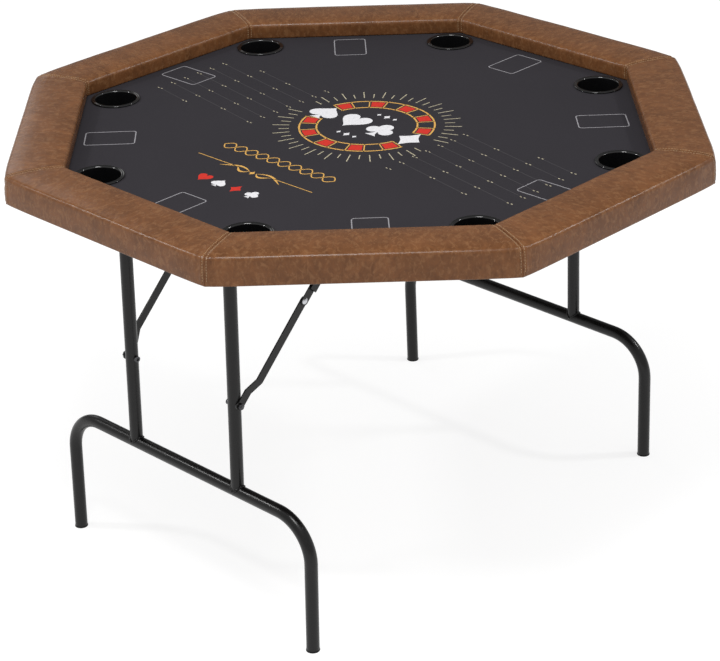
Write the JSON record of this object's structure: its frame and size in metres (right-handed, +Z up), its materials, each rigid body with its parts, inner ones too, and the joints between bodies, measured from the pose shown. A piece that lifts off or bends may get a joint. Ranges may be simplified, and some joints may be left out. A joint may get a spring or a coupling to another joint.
{
  "type": "folding poker table",
  "caption": "Eight-sided poker table with a padded rail, a cup holder at each corner and two tube leg frames that fold flat under the top on jointed braces.",
  "frame": {"origin": "on the floor, under the middle of the table top", "axes": "+Z up; +X from the left leg frame to the right one; +Y along the leg hinges, towards the rear"},
  "size_m": [1.2, 1.2, 0.77],
  "materials": {
    "leatherette": "semi-gloss distressed brown leatherette",
    "cloth": "matt charcoal speed cloth with a thin print",
    "foam": "thin foam sheet",
    "board": "fibreboard with a dark painted underside",
    "rail_wood": "plain pine",
    "cup_plastic": "gloss black moulded plastic",
    "black_steel": "semi-gloss black powder coat",
    "foot_rubber": "matt black",
    "dark_bolt": "blackened steel",
    "zinc": "bright zinc plate",
    "thread": "tan sewing thread on the rail",
    "print_gold": "matt gold print on the cloth",
    "print_red": "matt red print on the cloth",
    "print_white": "matt white print on the cloth",
    "print_grey": "matt grey print on the cloth"
  },
  "bodies": {
    "table_top": {"board": "board", "foam_sheet": "foam", "playing_cloth": "cloth", "rail_blocks": "rail_wood", "rail_pad_1": "leatherette", "rail_pad_2": "leatherette", "rail_pad_3": "leatherette", "rail_pad_4": "leatherette", "rail_pad_5": "leatherette", "rail_pad_6": "leatherette", "rail_pad_7": "leatherette", "rail_pad_8": "leatherette", "cup_holder_1": "cup_plastic", "cup_holder_2": "cup_plastic", "cup_holder_3": "cup_plastic", "cup_holder_4": "cup_plastic", "cup_holder_5": "cup_plastic", "cup_holder_6": "cup_plastic", "cup_holder_7": "cup_plastic", "cup_holder_8": "cup_plastic", "left_hinge_clips": "black_steel", "left_brace_brackets": "black_steel", "right_hinge_clips": "black_steel", "right_brace_brackets": "black_steel", "clip_screws": "zinc", "bracket_screws": "zinc", "bracket_pins": "zinc"},
    "left_leg_frame": {"left_foot_tube": "black_steel", "left_front_upright": "black_steel", "left_rear_upright": "black_steel", "left_pivot_tube": "black_steel", "left_foot_caps": "foot_rubber", "left_welds": "black_steel", "left_brace_bolts": "dark_bolt", "left_brace_nuts": "dark_bolt"},
    "left_front_strap": {"left_front_brace_strap": "black_steel"},
    "left_front_channel": {"left_front_brace_channel": "black_steel", "left_front_brace_rivet": "zinc"},
    "left_rear_strap": {"left_rear_brace_strap": "black_steel"},
    "left_rear_channel": {"left_rear_brace_channel": "black_steel", "left_rear_brace_rivet": "zinc"},
    "right_leg_frame": {"right_foot_tube": "black_steel", "right_front_upright": "black_steel", "right_rear_upright": "black_steel", "right_pivot_tube": "black_steel", "right_foot_caps": "foot_rubber", "right_welds": "black_steel", "right_brace_bolts": "dark_bolt", "right_brace_nuts": "dark_bolt"},
    "right_front_strap": {"right_front_brace_strap": "black_steel"},
    "right_front_channel": {"right_front_brace_channel": "black_steel", "right_front_brace_rivet": "zinc"},
    "right_rear_strap": {"right_rear_brace_strap": "black_steel"},
    "right_rear_channel": {"right_rear_brace_channel": "black_steel", "right_rear_brace_rivet": "zinc"}
  },
  "joints": [
    {"name": "left_leg_fold", "type": "hinge", "parent": "table_top", "child": "left_leg_frame", "pos_m": [-0.44, 0, 0.7], "axis": [0, -1, 0], "range_deg": [0, 91.23]},
    {"name": "left_front_strap_pivot", "type": "hinge", "parent": "left_leg_frame", "child": "left_front_strap", "pos_m": [-0.44621, -0.1447, 0.41], "axis": [0, -1, 0], "range_deg": [0, 43.9]},
    {"name": "left_front_channel_pivot", "type": "hinge", "parent": "table_top", "child": "left_front_channel", "pos_m": [-0.155, -0.1605, 0.7], "axis": [0, -1, 0], "range_deg": [-44.89, 0]},
    {"name": "left_rear_strap_pivot", "type": "hinge", "parent": "left_leg_frame", "child": "left_rear_strap", "pos_m": [-0.44621, 0.1447, 0.41], "axis": [0, -1, 0], "range_deg": [0, 43.9]},
    {"name": "left_rear_channel_pivot", "type": "hinge", "parent": "table_top", "child": "left_rear_channel", "pos_m": [-0.155, 0.1605, 0.7], "axis": [0, -1, 0], "range_deg": [-44.89, 0]},
    {"name": "right_leg_fold", "type": "hinge", "parent": "table_top", "child": "right_leg_frame", "pos_m": [0.44, 0, 0.7], "axis": [0, 1, 0], "range_deg": [0, 87.23]},
    {"name": "right_front_strap_pivot", "type": "hinge", "parent": "right_leg_frame", "child": "right_front_strap", "pos_m": [0.44621, -0.1447, 0.41], "axis": [0, 1, 0], "range_deg": [0, 42.68]},
    {"name": "right_front_channel_pivot", "type": "hinge", "parent": "table_top", "child": "right_front_channel", "pos_m": [0.155, -0.1605, 0.7], "axis": [0, 1, 0], "range_deg": [-44.52, 0]},
    {"name": "right_rear_strap_pivot", "type": "hinge", "parent": "right_leg_frame", "child": "right_rear_strap", "pos_m": [0.44621, 0.1447, 0.41], "axis": [0, 1, 0], "range_deg": [0, 42.68]},
    {"name": "right_rear_channel_pivot", "type": "hinge", "parent": "table_top", "child": "right_rear_channel", "pos_m": [0.155, 0.1605, 0.7], "axis": [0, 1, 0], "range_deg": [-44.52, 0]}
  ],
  "couplings": [
    {"joint": "left_front_strap_pivot", "follows": "left_leg_fold", "ratio": 0.48113},
    {"joint": "left_front_channel_pivot", "follows": "left_leg_fold", "ratio": -0.49196},
    {"joint": "left_rear_strap_pivot", "follows": "left_leg_fold", "ratio": 0.48113},
    {"joint": "left_rear_channel_pivot", "follows": "left_leg_fold", "ratio": -0.49196},
    {"joint": "right_front_strap_pivot", "follows": "right_leg_fold", "ratio": 0.48922},
    {"joint": "right_front_channel_pivot", "follows": "right_leg_fold", "ratio": -0.5103},
    {"joint": "right_rear_strap_pivot", "follows": "right_leg_fold", "ratio": 0.48922},
    {"joint": "right_rear_channel_pivot", "follows": "right_leg_fold", "ratio": -0.5103}
  ]
}
